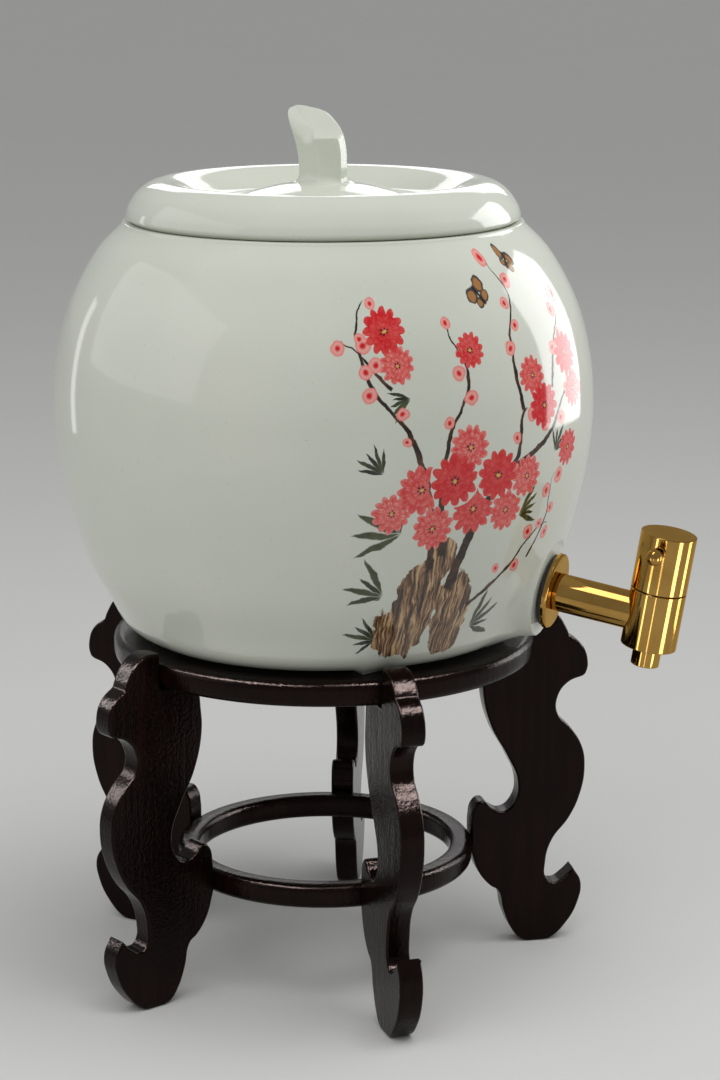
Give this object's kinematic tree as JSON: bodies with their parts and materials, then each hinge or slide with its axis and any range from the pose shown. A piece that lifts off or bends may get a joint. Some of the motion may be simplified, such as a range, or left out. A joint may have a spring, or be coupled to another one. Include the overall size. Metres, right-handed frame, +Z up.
{
  "type": "ceramic water pot with tap and stand",
  "caption": "Round glazed ceramic water pot with a lift-off lid and a quarter-turn brass tap, standing on a low carved wooden stand.",
  "frame": {"origin": "on the floor under the middle of the object's box, between the stand's feet", "axes": "+Z up, -Y out along the tap towards the user, +X to the right of someone who looks along +Y at the tap"},
  "size_m": [0.2508, 0.3068, 0.4089],
  "materials": {
    "glaze": "glossy pale celadon glaze",
    "lacquer": "glossy near-black reddish lacquer",
    "dowel_wood": "plain turned hardwood",
    "brass": "polished, gold plated",
    "seal": "matt",
    "steel": "plain"
  },
  "bodies": {
    "stand": {"top_ring": "lacquer", "stretcher_ring": "lacquer", "leg_1": "lacquer", "leg_2": "lacquer", "leg_3": "lacquer", "leg_4": "lacquer", "leg_5": "lacquer", "upper_dowel_1": "dowel_wood", "upper_dowel_2": "dowel_wood", "upper_dowel_3": "dowel_wood", "upper_dowel_4": "dowel_wood", "upper_dowel_5": "dowel_wood", "lower_dowel_1": "dowel_wood", "lower_dowel_2": "dowel_wood", "lower_dowel_3": "dowel_wood", "lower_dowel_4": "dowel_wood", "lower_dowel_5": "dowel_wood"},
    "pot": {"pot": "glaze", "outer_gasket": "seal", "escutcheon": "brass", "inlet_pipe": "brass", "inner_gasket": "seal", "inner_washer": "steel", "lock_nut": "brass", "valve_body": "brass", "nozzle": "brass", "gland_nut": "brass"},
    "lid": {"lid": "glaze"},
    "tap_handle": {"valve_plug": "brass", "plug_o_ring_upper": "seal", "plug_o_ring_lower": "seal", "tap_cap": "brass", "lever_rod": "brass", "lever_collar": "brass", "lever_ball": "brass"}
  },
  "joints": [
    {"name": "pot_lift", "type": "slide", "parent": "stand", "child": "pot", "axis": [0, 0, 1], "range_m": [0, 0.06]},
    {"name": "lid_lift", "type": "slide", "parent": "pot", "child": "lid", "axis": [0, 0, 1], "range_m": [0, 0.06]},
    {"name": "tap_turn", "type": "hinge", "parent": "pot", "child": "tap_handle", "pos_m": [-0.0004, -0.13457, 0.18297], "axis": [0, -0.1616, 0.9869], "range_deg": [0, 90]}
  ]
}
